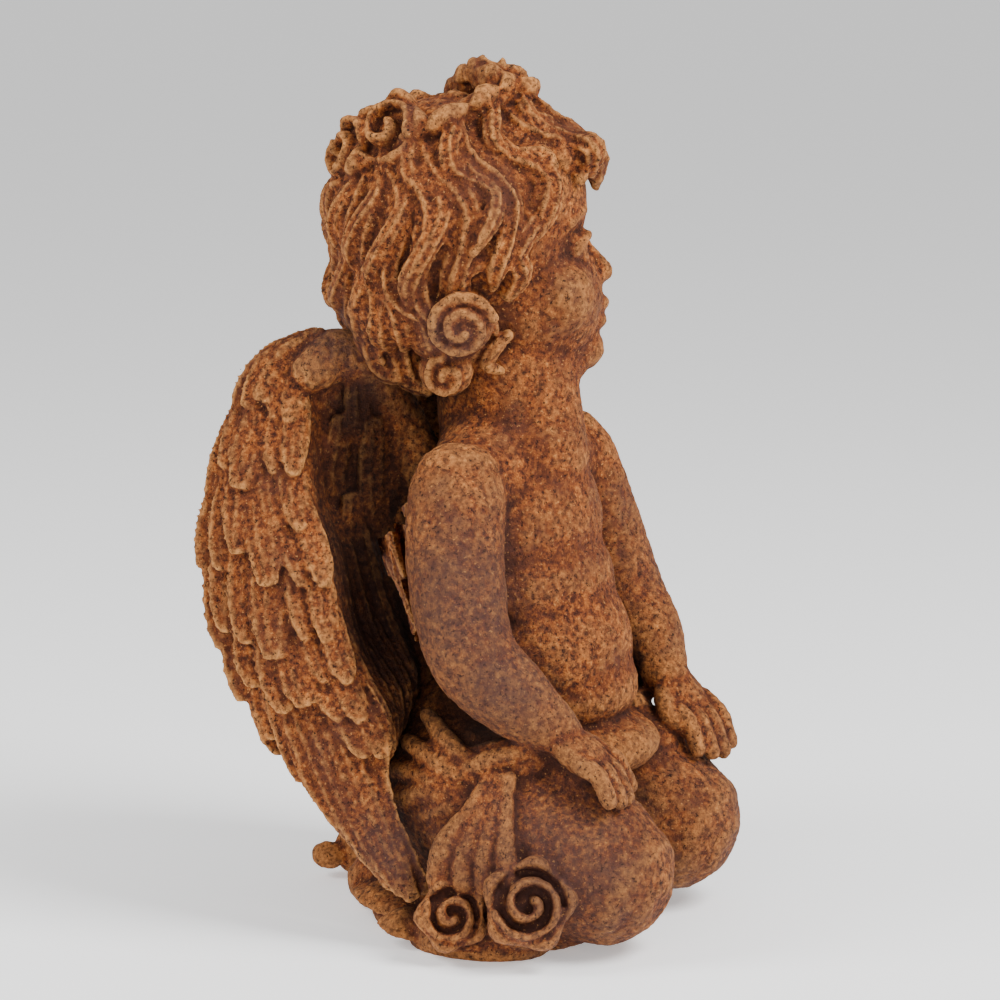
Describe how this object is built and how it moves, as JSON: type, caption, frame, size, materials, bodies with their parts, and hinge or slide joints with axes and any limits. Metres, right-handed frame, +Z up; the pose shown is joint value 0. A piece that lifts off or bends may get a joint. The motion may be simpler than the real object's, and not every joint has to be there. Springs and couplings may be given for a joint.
{
  "type": "angel figurine",
  "caption": "Kneeling winged child figure cast in one piece, hands on thighs, head turned aside, with a wreath of roses, a hip cloth and more roses at one knee.",
  "frame": {"origin": "on the flat underside, below the middle of the shoulders", "axes": "+Z up, the figure's body faces -Y and its left side is +X"},
  "size_m": [0.1496, 0.1658, 0.2991],
  "materials": {
    "rust_finish": "rough, coarse-grained rust patina over cast stone"
  },
  "bodies": {
    "root": {"kneeling_angel": "rust_finish"}
  },
  "joints": []
}
